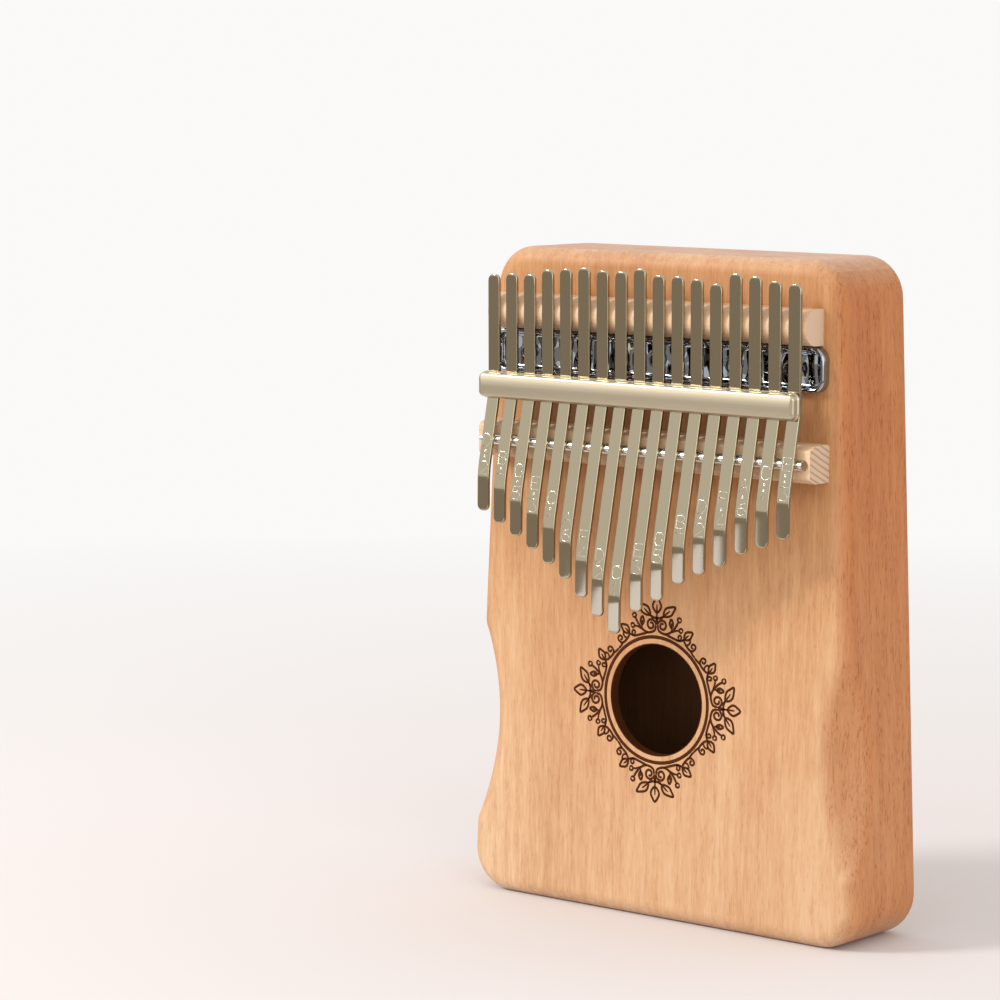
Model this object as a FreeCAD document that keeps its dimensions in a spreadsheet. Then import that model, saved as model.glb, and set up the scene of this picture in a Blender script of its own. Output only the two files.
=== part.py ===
"""A seventeen-note box kalimba, a thumb piano of the mbira family, in millimetres.

The box stands upright. X runs across the front from the player's left to right,
Y runs from the front of the box to its back, and Z runs up from the bottom face.
The origin is the middle of the bottom face, halfway between front and back.

The box is a soundboard, a back board and a mitred frame of four boards, with a
pin block glued inside. The steel tines lie over a rear bar and over a steel rod
in the bridge bar, and the pressure bar between them holds them down. Each tine
is split at the rod: its tang is held, and its reed turns a little about the rod.
"""
import FreeCAD, Part
import os
import Sketcher
from FreeCAD import Placement, Rotation, Vector

# Driving dimensions: alias, value in millimetres or degrees, meaning.
SIZES = (
    # The box.
    ("body_height", 185.0, "height of the box"),
    ("body_depth", 33.0, "front to back of the box"),
    ("base_width", 132.7, "width across the bottom"),
    ("head_width", 116.4, "width across the top, before its corners are rounded"),
    ("head_corner", 11.5, "radius of the two top corners"),
    ("base_corner", 12.0, "radius of the two bottom corners"),
    ("front_round", 4.5, "rounding of the front rim"),
    ("back_round", 4.0, "rounding of the back rim"),
    ("board_thick", 3.2, "thickness of the soundboard and of the back board"),
    ("frame_thick", 9.0, "thickness of the four frame boards"),
    ("saw_margin", 10.0, "extra stock outside the outline, which shaping removes"),
    ("scoop_height", 51.5, "height of the deepest point of the hand scoops"),
    ("scoop_depth", 8.7, "depth of a scoop across the front face"),
    ("scoop_reach", 10.9, "how far back a scoop runs along the side"),
    ("scoop_radius", 84.0, "radius of the cutter that makes a scoop"),
    ("cutter_length", 500.0, "length of that cutter"),
    ("scoop_round", 6.0, "easing of the scoops' edges"),
    ("hole_height", 61.8, "height of the sound hole's centre"),
    ("hole_width", 31.0, "diameter of the sound hole"),
    # The pin block glued inside, behind the bars.
    ("block_width", 92.0, "length of the pin block"),
    ("block_base", 140.0, "height of the pin block's lower face"),
    ("block_top", 174.0, "height of the pin block's upper face"),
    ("block_thick", 9.3, "thickness of the pin block"),
    # The rear bar and the bridge bar, glued on the soundboard.
    ("rear_bar_length", 107.4, "length of the rear bar"),
    ("rear_bar_height", 167.3, "height of the rear bar's middle"),
    ("rear_bar_width", 9.7, "size of the rear bar along Z"),
    ("rear_bar_depth", 8.5, "how far the rear bar stands out"),
    ("rear_bar_crown", 4.4, "rise of the rear bar's rounded face"),
    ("bridge_length", 112.4, "length of the bridge bar"),
    ("bridge_height", 131.4, "height of the bridge bar's middle"),
    ("bridge_width", 10.1, "size of the bridge bar along Z"),
    ("bridge_depth", 9.1, "how far the bridge bar stands out"),
    ("bridge_bevel", 1.2, "height of the bevels on the bridge bar's two front edges"),
    ("bridge_bevel_run", 2.6, "how far back those bevels run"),
    ("bridge_round", 0.8, "rounding of the bevels' edges"),
    ("rod_length", 109.0, "length of the steel rod"),
    ("rod_width", 3.0, "diameter of the steel rod"),
    ("rod_height", 131.3, "height of the rod's axis"),
    ("rod_out", 9.5, "how far the rod's axis stands out from the soundboard"),
    ("groove_slack", 0.05, "radial clearance of the rod's groove"),
    ("groove_end", 1.2, "how far the groove runs past each end of the rod"),
    # The chrome tray between the bars, and its screws.
    ("tray_length", 111.6, "length of the tray"),
    ("tray_base", 149.9, "height of the tray's lower edge"),
    ("tray_top", 162.1, "height of the tray's upper edge"),
    ("tray_depth", 3.0, "height of the tray's rim above the soundboard"),
    ("tray_floor", 0.9, "thickness of the tray's floor"),
    ("tray_rim", 1.9, "width of the tray's rim"),
    ("tray_corner", 3.5, "radius of the tray's corners"),
    ("tray_blend", 1.0, "radius between the tray's floor and rim"),
    ("rim_round", 0.9, "rounding of the rim's top edges"),
    ("screw_height", 156.0, "height of the row of tray screws"),
    ("screw_head", 5.2, "diameter of a tray screw's head"),
    ("screw_dome", 1.8, "height of a tray screw's domed head"),
    ("screw_crown", 1.612, "radius of the flat on top of the head, before it is rounded"),
    ("screw_cheek", 2.34, "radius of the head where its side turns in"),
    ("screw_side", 1.08, "height of the head where its side turns in"),
    ("screw_round", 0.6, "rounding of the head"),
    ("screw_shank", 2.4, "diameter of a tray screw's shank"),
    ("screw_length", 12.0, "length of a tray screw under its head"),
    ("pilot_bite", 0.1, "how much smaller the pilot holes are, in radius"),
    # The pressure bar and its studs.
    ("press_length", 107.8, "length of the pressure bar"),
    ("press_shift", -0.6, "how far the pressure bar sits off the middle"),
    ("press_base", 143.0, "height of the pressure bar's lower edge"),
    ("press_width", 7.5, "size of the pressure bar along Z"),
    ("press_out", 12.6, "how far the pressure bar stands out"),
    ("press_foot", 9.8, "how far out the pressure bar's feet stop"),
    ("press_wall", 1.0, "thickness of the pressure bar's sheet"),
    ("press_corner", 2.0, "radius of the pressure bar's corners"),
    ("press_crown", 1.2, "rounding along the pressure bar's outer edge"),
    ("stud_height", 146.9, "height of the row of studs"),
    ("stud_width", 2.0, "diameter of a stud"),
    ("stud_end", 15.7, "depth of the studs' ends behind the soundboard's face"),
    ("stud_slack", 0.1, "radial clearance of the studs in the wood"),
    ("washer_width", 5.0, "diameter of a stud washer"),
    ("washer_thick", 0.6, "thickness of a stud washer"),
    ("nut_corner", 2.3, "radius to the corners of a stud nut"),
    ("nut_thick", 1.6, "thickness of a stud nut"),
    ("nut_bite", 0.05, "how much smaller a nut's bore is than its stud, in radius"),
    # The tines.
    ("tine_pitch", 6.36, "distance between neighbouring tines"),
    ("tine_width", 3.9, "width of a tine"),
    ("tine_thick", 1.0, "thickness of a tine"),
    ("tine_corner", 1.75, "radius of the corners at both ends of a tine"),
    ("tine_seat", 0.03, "gap between a tine's underside and the rod"),
    ("front_slope", 11.5, "angle at which the reeds rise from the soundboard"),
    ("rear_slope", 0.8, "angle at which the tangs rise towards the rear bar"),
    ("press_bend_height", 145.25, "height of the bend under the pressure bar"),
    ("press_bend_round", 12.0, "inner radius of the bend under the pressure bar"),
    ("tip_length", 11.1, "length of the tip that lies level with the soundboard"),
    ("tip_bend_round", 30.0, "inner radius of the bend before the tip"),
    ("split_angle", 1.75, "half the angle of the gap between a tang and its reed"),
)

# The free ends of the seventeen tines, player's left to right: the height of
# each tip, which sets its note, and the height of its rear end.
TIP_HEIGHTS = (111.5, 108.5, 105.5, 102.5, 99.0, 95.5, 91.0, 86.5, 82.5,
               89.0, 92.5, 97.5, 100.5, 103.2, 107.0, 109.2, 111.9)
REAR_HEIGHTS = (177.5, 178.0, 178.0, 179.5, 180.0, 180.5, 180.0, 180.0, 181.0,
                179.5, 179.5, 179.0, 178.0, 181.0, 180.5, 179.5, 179.0)
TINE_COUNT = len(TIP_HEIGHTS)

# Where fasteners stand, counted in tine pitches from the middle: the tray
# screws are under tines, and the studs pass between tines.
SCREW_STEPS = (-7.0, -4.0, 0.0, 4.0, 7.0)
STUD_STEPS = (-6.5, -2.5, 2.5, 6.5)

doc = FreeCAD.newDocument("kalimba")
subparts = []


# The sheet of driving dimensions, and small helpers.

def fill_sheet():
    """Write every driving dimension into the sheet, one row each."""
    sheet = doc.addObject("Spreadsheet::Sheet", "dims")
    rows = list(SIZES)
    for number in range(TINE_COUNT):
        place_in_row = f"{number + 1:02d}"
        rows.append((f"tip_height_{place_in_row}", TIP_HEIGHTS[number],
                     "height of a tine's tip"))
        rows.append((f"rear_height_{place_in_row}", REAR_HEIGHTS[number],
                     "height of a tine's rear end"))
    for row, (alias, value, meaning) in enumerate(rows, start=1):
        sheet.set(f"A{row}", meaning)
        sheet.set(f"B{row}", str(value))
        sheet.setAlias(f"B{row}", alias)
    doc.recompute()
    return sheet


def read(formula):
    """Work out a formula of the sheet's dimensions as a plain number."""
    result = dims.evalExpression(formula)
    return float(getattr(result, "Value", result))


def bind(thing, **formulas):
    """Bind properties of a document object to formulas of the sheet."""
    for name, formula in formulas.items():
        thing.setExpression(name, formula)


def place(thing, across="0", along="0", up="0", axis=Vector(1, 0, 0), angle="0"):
    """Place an object at X, Y and Z given as formulas, turned about one axis."""
    thing.Placement = Placement(Vector(), Rotation(axis, 1.0))
    thing.setExpression("Placement.Base.x", across)
    thing.setExpression("Placement.Base.y", along)
    thing.setExpression("Placement.Base.z", up)
    thing.setExpression("Placement.Rotation.Angle", angle)


def keep(thing, name):
    """Name an object as a sub-part of the kalimba."""
    thing.Label = name
    subparts.append(thing)
    return thing


def shape_of(thing):
    """The object's shape after a recompute."""
    doc.recompute()
    return thing.Shape


def edge_names(shape, wanted):
    """The names of the edges that a test picks out."""
    return [f"Edge{number}" for number, edge in enumerate(shape.Edges, start=1) if wanted(edge)]


def runs_along(edge, direction):
    """True for a straight edge in the given direction."""
    if edge.Curve.TypeId != "Part::GeomLine":
        return False
    return abs(abs(edge.Curve.Direction.dot(direction)) - 1.0) < 1e-6


def lies_at(edge, axis, value):
    """True when the whole edge lies in the plane where one coordinate has a value."""
    low = getattr(edge.BoundBox, axis + "Min")
    high = getattr(edge.BoundBox, axis + "Max")
    return abs(low - value) < 1e-4 and abs(high - value) < 1e-4


# Sketches and features of a PartDesign body.

def add_body(name):
    return doc.addObject("PartDesign::Body", name)


def add_sketch(body, name, plane):
    """An empty sketch on one of the body's own origin planes."""
    support = [item for item in body.Origin.OriginFeatures if item.Role == plane][0]
    sketch = body.newObject("Sketcher::SketchObject", name)
    sketch.AttachmentSupport = (support, [""])
    sketch.MapMode = "FlatFace"
    return sketch


def pin_point(sketch, geometry, position, across, up):
    """Fix a sketch point at two formulas, measured from the sketch's origin."""
    for kind, formula in (("DistanceX", across), ("DistanceY", up)):
        rule = Sketcher.Constraint(kind, -1, 1, geometry, position, read(formula))
        number = sketch.addConstraint(rule)
        sketch.setExpression(f"Constraints[{number}]", formula)


def draw_polygon(sketch, corners):
    """A closed outline of straight lines through corners given as formulas."""
    points = [Vector(read(across), read(up), 0) for across, up in corners]
    count = len(corners)
    for number in range(count):
        line = Part.LineSegment(points[number], points[(number + 1) % count])
        sketch.addGeometry(line, False)
    for number in range(count):
        following = (number + 1) % count
        sketch.addConstraint(Sketcher.Constraint("Coincident", number, 2, following, 1))
    for number, (across, up) in enumerate(corners):
        pin_point(sketch, number, 1, across, up)


def draw_box(sketch, left, right, low, high):
    """A rectangle between four formulas."""
    draw_polygon(sketch, ((left, low), (right, low), (right, high), (left, high)))


def add_pad(body, sketch, length, symmetric=False, backwards=False):
    """Thicken a sketch: towards the front for a sketch on the XZ plane."""
    pad = body.newObject("PartDesign::Pad", sketch.Name + "_pad")
    pad.Profile = sketch
    bind(pad, Length=length)
    pad.Reversed = backwards
    if symmetric:
        pad.SideType = "Symmetric"
    return pad


def add_fillet(body, base, wanted, radius):
    """Round the edges of a feature that a test picks out."""
    feature = body.newObject("PartDesign::Fillet", f"{base.Name}_round")
    feature.Base = (base, edge_names(shape_of(base), wanted))
    bind(feature, Radius=radius)
    return feature


# Booleans between whole objects.

def common(name, first, second):
    result = doc.addObject("Part::Common", name)
    result.Base = first
    result.Tool = second
    return result


def cut(name, stock, tool):
    result = doc.addObject("Part::Cut", name)
    result.Base = stock
    result.Tool = tool
    return result


def together(name, pieces, kind="Part::MultiFuse"):
    """Pieces as one tool, or as one compound of separate solids."""
    result = doc.addObject(kind, name)
    if kind == "Part::Compound":
        result.Links = pieces
    else:
        result.Shapes = pieces
    return result


def add_cylinder(name, radius, length, across, along, up):
    """A cylinder along Y that starts at the given point and runs backwards."""
    cylinder = doc.addObject("Part::Cylinder", name)
    bind(cylinder, Radius=radius, Height=length)
    place(cylinder, across, along, up, angle="-90")
    return cylinder


# Places that several pieces share, as formulas.
FRONT = "(-dims.body_depth / 2)"
BACK = "(dims.body_depth / 2)"
INSIDE_FRONT = "(-dims.body_depth / 2 + dims.board_thick)"
INSIDE_BACK = "(dims.body_depth / 2 - dims.board_thick)"
BLOCK_BACK = "(-dims.body_depth / 2 + dims.board_thick + dims.block_thick)"
HALF_BASE = "(dims.base_width / 2)"
HALF_HEAD = "(dims.head_width / 2)"
SIDE_LEAN = "((dims.base_width - dims.head_width) / 2 / dims.body_height)"


def half_width(height):
    """Half the width of the box at a height, both as formulas."""
    return f"({HALF_BASE} - {SIDE_LEAN} * ({height}))"


# The box.

def make_scoop(name, side):
    """The cutter of one hand scoop: a level cylinder that slants across the front edge."""
    slant = "atan(dims.scoop_depth / dims.scoop_reach)"
    edge = f"{half_width('dims.scoop_height')} - dims.scoop_depth"
    scoop = doc.addObject("Part::Cylinder", name)
    bind(scoop, Radius="dims.scoop_radius", Height="dims.cutter_length")
    # The cutter's axis starts well in front of the box and runs back and outwards.
    turn = Rotation(Vector(0, 0, 1), -side * read(slant)) * Rotation(Vector(1, 0, 0), -90)
    scoop.Placement = Placement(Vector(), turn)
    reach_back = "(dims.cutter_length / 2)"
    out = f"(({edge}) + dims.scoop_radius * cos({slant}) - {reach_back} * sin({slant}))"
    scoop.setExpression("Placement.Base.x", f"{side} * {out}")
    scoop.setExpression(
        "Placement.Base.y",
        f"{FRONT} - dims.scoop_radius * sin({slant}) - {reach_back} * cos({slant})")
    scoop.setExpression("Placement.Base.z", "dims.scoop_height")
    return scoop


def make_box_blank():
    """The whole outside of the box as one solid, rounded and scooped."""
    body = add_body("box_outline")
    sketch = add_sketch(body, "box_outline_sketch", "XZ_Plane")
    draw_polygon(sketch, (
        (f"-{HALF_BASE}", "0"), (HALF_BASE, "0"),
        (HALF_HEAD, "dims.body_height"), (f"-{HALF_HEAD}", "dims.body_height")))
    pad = add_pad(body, sketch, "dims.body_depth", symmetric=True)
    top = read("dims.body_height")
    depthwise = Vector(0, 1, 0)
    head = add_fillet(body, pad, lambda edge: runs_along(edge, depthwise)
                      and lies_at(edge, "Z", top), "dims.head_corner")
    base = add_fillet(body, head, lambda edge: runs_along(edge, depthwise)
                      and lies_at(edge, "Z", 0), "dims.base_corner")
    front = add_fillet(body, base, lambda edge: lies_at(edge, "Y", read(FRONT)),
                       "dims.front_round")
    add_fillet(body, front, lambda edge: lies_at(edge, "Y", read(BACK)), "dims.back_round")
    scoops = together("scoops", [make_scoop("left_scoop", -1), make_scoop("right_scoop", 1)])
    scooped = cut("scooped_box", body, scoops)
    faces = shape_of(scooped).Faces
    cutter_faces = [face for face in faces if face.Surface.TypeId == "Part::GeomCylinder"
                    and abs(face.Surface.Radius - read("dims.scoop_radius")) < 1e-6]
    rims = [edge for face in cutter_faces for edge in face.Edges]
    eased = doc.addObject("Part::Fillet", "box_blank")
    eased.Base = scooped
    radius = read("dims.scoop_round")
    eased.Edges = [(number, radius, radius) for number, edge in
                   enumerate(scooped.Shape.Edges, start=1)
                   if any(edge.isSame(rim) for rim in rims)]
    return eased


def make_slab(name, front, thickness):
    """A slab across the whole box, from a depth backwards."""
    slab = doc.addObject("Part::Box", name)
    width = "(dims.base_width + 2 * dims.saw_margin)"
    bind(slab, Length=width, Width=thickness, Height="dims.body_height + 2 * dims.saw_margin")
    place(slab, f"-{width} / 2", front, "-dims.saw_margin")
    return slab


def make_fastener_holes(name, front, depth):
    """The holes for the tray screws and the studs, as one tool."""
    tools = []
    for number, step in enumerate(SCREW_STEPS):
        tools.append(add_cylinder(
            f"{name}_screw_{number}", "dims.screw_shank / 2 - dims.pilot_bite", depth,
            f"{step} * dims.tine_pitch", front, "dims.screw_height"))
    for number, step in enumerate(STUD_STEPS):
        tools.append(add_cylinder(
            f"{name}_stud_{number}", "dims.stud_width / 2 + dims.stud_slack", depth,
            f"{step} * dims.tine_pitch", front, "dims.stud_height"))
    return tools


def make_soundboard(blank):
    slab = make_slab("soundboard_slab", f"{FRONT} - dims.saw_margin",
                     "dims.board_thick + dims.saw_margin")
    board = common("soundboard_blank", blank, slab)
    hole = add_cylinder("sound_hole", "dims.hole_width / 2", "2 * dims.board_thick",
                        "0", f"{FRONT} - dims.board_thick / 2", "dims.hole_height")
    holes = make_fastener_holes("soundboard_hole", f"{FRONT} - dims.board_thick / 2",
                                "2 * dims.board_thick")
    keep(cut("soundboard", board, together("soundboard_holes", [hole] + holes)), "soundboard")


def make_back_board(blank):
    slab = make_slab("back_board_slab", INSIDE_BACK, "dims.board_thick + dims.saw_margin")
    keep(common("back_board", blank, slab), "back_board")


def make_frame(blank):
    """Four boards mitred at the corners, shaped outside with the rest of the box."""
    thick = "dims.frame_thick"
    margin = "dims.saw_margin"
    high = "dims.body_height"
    slab = make_slab("frame_slab", INSIDE_FRONT, "dims.body_depth - 2 * dims.board_thick")
    ring = common("frame_blank", blank, slab)
    # Each corner of the ring, from its inner point to a point outside the box.
    low_in = (f"({half_width(thick)} - {thick})", thick)
    low_out = (f"({HALF_BASE} + {margin})", f"(-{margin})")
    high_in = (f"({half_width(f'{high} - {thick}')} - {thick})", f"({high} - {thick})")
    high_out = (f"({HALF_HEAD} + {margin})", f"({high} + {margin})")
    level = {"frame_bottom": (low_in, low_out), "frame_top": (high_in, high_out)}
    upright = (low_in, low_out, high_out, high_in)
    outlines = {}
    for name, points in level.items():
        mirrored = [(f"-1 * {across}", up) for across, up in reversed(points)]
        outlines[name] = list(points) + mirrored
    outlines["frame_right"] = upright
    outlines["frame_left"] = [(f"-1 * {across}", up) for across, up in upright]
    for name, corners in outlines.items():
        body = add_body(name + "_stock")
        sketch = add_sketch(body, name + "_sketch", "XZ_Plane")
        draw_polygon(sketch, corners)
        add_pad(body, sketch, "dims.body_depth", symmetric=True)
        keep(common(name, ring, body), name)


def make_pin_block():
    block = doc.addObject("Part::Box", "pin_block_stock")
    bind(block, Length="dims.block_width", Width="dims.block_thick",
         Height="dims.block_top - dims.block_base")
    place(block, "-dims.block_width / 2", INSIDE_FRONT, "dims.block_base")
    holes = make_fastener_holes("block_hole", f"{INSIDE_FRONT} - dims.board_thick",
                                "dims.block_thick + 2 * dims.board_thick")
    keep(cut("pin_block", block, together("pin_block_holes", holes)), "pin_block")


# The bars on the front.

def make_rear_bar():
    """A D-shaped bar: flat on three sides, with a crowned face for the tines."""
    body = add_body("rear_bar")
    sketch = add_sketch(body, "rear_bar_sketch", "YZ_Plane")
    low = "(dims.rear_bar_height - dims.rear_bar_width / 2)"
    high = "(dims.rear_bar_height + dims.rear_bar_width / 2)"
    shoulder = f"({FRONT} - dims.rear_bar_depth + dims.rear_bar_crown)"
    crest = f"({FRONT} - dims.rear_bar_depth)"
    corners = ((shoulder, high), (FRONT, high), (FRONT, low), (shoulder, low))
    points = [Vector(read(across), read(up), 0) for across, up in corners]
    for number in range(3):
        sketch.addGeometry(Part.LineSegment(points[number], points[number + 1]), False)
        pin_point(sketch, number, 1, *corners[number])
    pin_point(sketch, 2, 2, *corners[3])
    for number in range(2):
        sketch.addConstraint(Sketcher.Constraint("Coincident", number, 2, number + 1, 1))
    middle = Vector(read(crest), read("dims.rear_bar_height"), 0)
    arc = sketch.addGeometry(Part.Arc(points[0], middle, points[3]), False)
    ends = (1, 2)
    if (sketch.getPoint(arc, 1) - points[0]).Length > 1e-6:
        ends = (2, 1)
    sketch.addConstraint(Sketcher.Constraint("Coincident", arc, ends[0], 0, 1))
    sketch.addConstraint(Sketcher.Constraint("Coincident", arc, ends[1], 2, 2))
    crown = "((dims.rear_bar_width ^ 2 / 4 + dims.rear_bar_crown ^ 2) / 2 / dims.rear_bar_crown)"
    number = sketch.addConstraint(Sketcher.Constraint("Radius", arc, read(crown)))
    sketch.setExpression(f"Constraints[{number}]", crown)
    add_pad(body, sketch, "dims.rear_bar_length", symmetric=True)
    keep(body, "rear_bar")


def make_bridge():
    """The bridge bar with its bevelled front and the groove that holds the rod."""
    body = add_body("bridge_stock")
    sketch = add_sketch(body, "bridge_sketch", "YZ_Plane")
    face = f"({FRONT} - dims.bridge_depth)"
    low = "(dims.bridge_height - dims.bridge_width / 2)"
    high = "(dims.bridge_height + dims.bridge_width / 2)"
    shoulder = f"({face} + dims.bridge_bevel_run)"
    draw_polygon(sketch, (
        (FRONT, low), (FRONT, high), (shoulder, high), (face, f"{high} - dims.bridge_bevel"),
        (face, f"{low} + dims.bridge_bevel"), (shoulder, low)))
    pad = add_pad(body, sketch, "dims.bridge_length", symmetric=True)
    lengthwise = Vector(1, 0, 0)
    fronts = (read(face), read(shoulder))
    add_fillet(body, pad, lambda edge: runs_along(edge, lengthwise)
               and any(lies_at(edge, "Y", depth) for depth in fronts), "dims.bridge_round")
    radius = "(dims.rod_width / 2 + dims.groove_slack)"
    reach = f"(dims.rod_length / 2 + dims.groove_end - {radius})"
    axis_out = f"({FRONT} - dims.rod_out)"
    groove = doc.addObject("Part::Cylinder", "rod_groove")
    bind(groove, Radius=radius, Height=f"2 * {reach}")
    place(groove, f"-{reach}", axis_out, "dims.rod_height", Vector(0, 1, 0), "90")
    tools = [groove]
    for side in (-1, 1):
        end = doc.addObject("Part::Sphere", "groove_end")
        bind(end, Radius=radius)
        place(end, f"{side} * {reach}", axis_out, "dims.rod_height")
        tools.append(end)
    keep(cut("bridge_bar", body, together("groove_tool", tools)), "bridge_bar")
    rod = doc.addObject("Part::Cylinder", "bridge_rod")
    bind(rod, Radius="dims.rod_width / 2", Height="dims.rod_length")
    place(rod, "-dims.rod_length / 2", axis_out, "dims.rod_height", Vector(0, 1, 0), "90")
    keep(rod, "bridge_rod")


def make_stamping(name, length, low, high, corner, inner, outer):
    """A straight-sided block with rounded corners, padded along Y between two depths."""
    body = add_body(name)
    sketch = add_sketch(body, name + "_outline", "XZ_Plane")
    draw_box(sketch, f"-({length}) / 2", f"({length}) / 2", low, high)
    pad = add_pad(body, sketch, f"{inner} - ({outer})")
    place(body, along=inner)
    upright = Vector(0, 1, 0)
    rounded = add_fillet(body, pad, lambda edge: runs_along(edge, upright), corner)
    return body, rounded


def make_tray():
    """A chrome pan with a rounded rim, screwed down between the two bars."""
    rim = "dims.tray_rim"
    body, block = make_stamping("tray_stock", "dims.tray_length", "dims.tray_base",
                                "dims.tray_top", "dims.tray_corner", FRONT,
                                f"({FRONT} - dims.tray_depth)")
    top = -read("dims.tray_depth")
    add_fillet(body, block, lambda edge: lies_at(edge, "Y", top), "dims.rim_round")
    hollow, inside = make_stamping(
        "tray_hollow", f"dims.tray_length - 2 * {rim}", f"dims.tray_base + {rim}",
        f"dims.tray_top - {rim}", f"dims.tray_corner - {rim}",
        f"({FRONT} - dims.tray_floor)", f"({FRONT} - 2 * dims.tray_depth)")
    add_fillet(hollow, inside, lambda edge: lies_at(edge, "Y", 0), "dims.tray_blend")
    holes = [add_cylinder(f"tray_hole_{number}", "dims.screw_shank / 2 + dims.stud_slack",
                          "2 * dims.tray_depth", f"{step} * dims.tine_pitch",
                          f"{FRONT} - dims.tray_depth", "dims.screw_height")
             for number, step in enumerate(SCREW_STEPS)]
    pan = cut("tray_pan", body, hollow)
    flared = doc.addObject("Part::Fillet", "tray_flared")
    flared.Base = pan
    radius = read("dims.rim_round")
    rim_top = read(f"{FRONT} - dims.tray_depth")
    flared.Edges = [(number, radius, radius) for number, edge in
                    enumerate(shape_of(pan).Edges, start=1) if lies_at(edge, "Y", rim_top)
                    and abs(edge.BoundBox.XMax) < read(f"dims.tray_length / 2 - {rim}") + 1e-3
                    and edge.BoundBox.ZMin > read(f"dims.tray_base + {rim}") - 1e-3
                    and edge.BoundBox.ZMax < read(f"dims.tray_top - {rim}") + 1e-3]
    keep(cut("anchor_tray", flared, together("tray_holes", holes)), "anchor_tray")


def make_tray_screws():
    """Dome-headed wood screws, each hidden under a tine."""
    screws = []
    seat = f"({FRONT} - dims.tray_floor)"
    for number, step in enumerate(SCREW_STEPS):
        screw = add_body(f"tray_screw_{number}")
        sketch = add_sketch(screw, f"tray_screw_{number}_sketch", "XY_Plane")
        dome = "(dims.screw_head / 2)"
        shank = "(dims.screw_shank / 2)"
        draw_polygon(sketch, (
            ("0", "-dims.screw_dome"), ("dims.screw_crown", "-dims.screw_dome"),
            ("dims.screw_cheek", "-dims.screw_side"), (dome, "0"), (shank, "0"),
            (shank, f"dims.screw_length - {shank}"), ("0", "dims.screw_length")))
        turned = screw.newObject("PartDesign::Revolution", f"tray_screw_{number}_turned")
        turned.Profile = sketch
        turned.ReferenceAxis = (sketch, ["V_Axis"])
        turned.Angle = 360
        turns_in = (read("-dims.screw_side"), read("-dims.screw_dome"))
        rounded = add_fillet(
            screw, turned,
            lambda edge: any(lies_at(edge, "Y", depth) for depth in turns_in), "dims.screw_round")
        screw.Tip = rounded
        place(screw, f"{step} * dims.tine_pitch", seat, "dims.screw_height")
        screws.append(screw)
    keep(together("tray_screws", screws, "Part::Compound"), "tray_screws")


def make_pressure_bar():
    """A stamped channel with closed ends, open towards the tines."""
    wall = "dims.press_wall"
    top = f"({FRONT} - dims.press_out)"
    foot = f"({FRONT} - dims.press_foot)"
    low = "dims.press_base"
    high = "(dims.press_base + dims.press_width)"
    body, block = make_stamping("press_stock", "dims.press_length", low, high,
                                "dims.press_corner", foot, top)
    crest = read(f"{top} - {foot}")
    place(body, "dims.press_shift", foot)
    add_fillet(body, block, lambda edge: lies_at(edge, "Y", crest), "dims.press_crown")
    hollow, inside = make_stamping(
        "press_hollow", f"dims.press_length - 2 * {wall}", f"{low} + {wall}",
        f"{high} - {wall}", f"dims.press_corner - {wall}",
        f"({foot} + {wall})", f"({top} + {wall})")
    place(hollow, "dims.press_shift", f"({foot} + {wall})")
    add_fillet(hollow, inside, lambda edge: lies_at(edge, "Y", crest),
               "dims.press_crown - dims.press_wall")
    keep(cut("pressure_bar", body, hollow), "pressure_bar")


def make_studs():
    """The pressure bar's welded studs, with the washers and nuts inside the box."""
    groups = {"pressure_bar_studs": [], "stud_washers": [], "stud_nuts": []}
    weld = f"({FRONT} - dims.press_out + dims.press_wall)"
    for number, step in enumerate(STUD_STEPS):
        across = f"{step} * dims.tine_pitch"
        groups["pressure_bar_studs"].append(add_cylinder(
            f"stud_{number}", "dims.stud_width / 2", f"{FRONT} + dims.stud_end - {weld}",
            across, weld, "dims.stud_height"))
        disc = add_cylinder(f"washer_disc_{number}", "dims.washer_width / 2",
                            "dims.washer_thick", across, BLOCK_BACK, "dims.stud_height")
        bore = add_cylinder(f"washer_bore_{number}", "dims.stud_width / 2 + dims.stud_slack",
                            "3 * dims.washer_thick", across,
                            f"{BLOCK_BACK} - dims.washer_thick", "dims.stud_height")
        groups["stud_washers"].append(cut(f"washer_{number}", disc, bore))
        hexagon = doc.addObject("Part::Prism", f"nut_hexagon_{number}")
        hexagon.Polygon = 6
        bind(hexagon, Circumradius="dims.nut_corner", Height="dims.nut_thick")
        place(hexagon, across, f"{BLOCK_BACK} + dims.washer_thick", "dims.stud_height",
              angle="-90")
        thread = add_cylinder(f"nut_bore_{number}", "dims.stud_width / 2 - dims.nut_bite",
                              "3 * dims.nut_thick", across, BLOCK_BACK, "dims.stud_height")
        groups["stud_nuts"].append(cut(f"nut_{number}", hexagon, thread))
    for name, pieces in groups.items():
        keep(together(name, pieces, "Part::Compound"), name)


# The tines. In a tine's own frame the rod's axis is the origin, the strip runs
# along Z past the rod, and away from the box is -Y.
UNDER = "(-(dims.rod_width / 2 + dims.tine_seat))"
OVER = f"({UNDER} - dims.tine_thick)"


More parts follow.
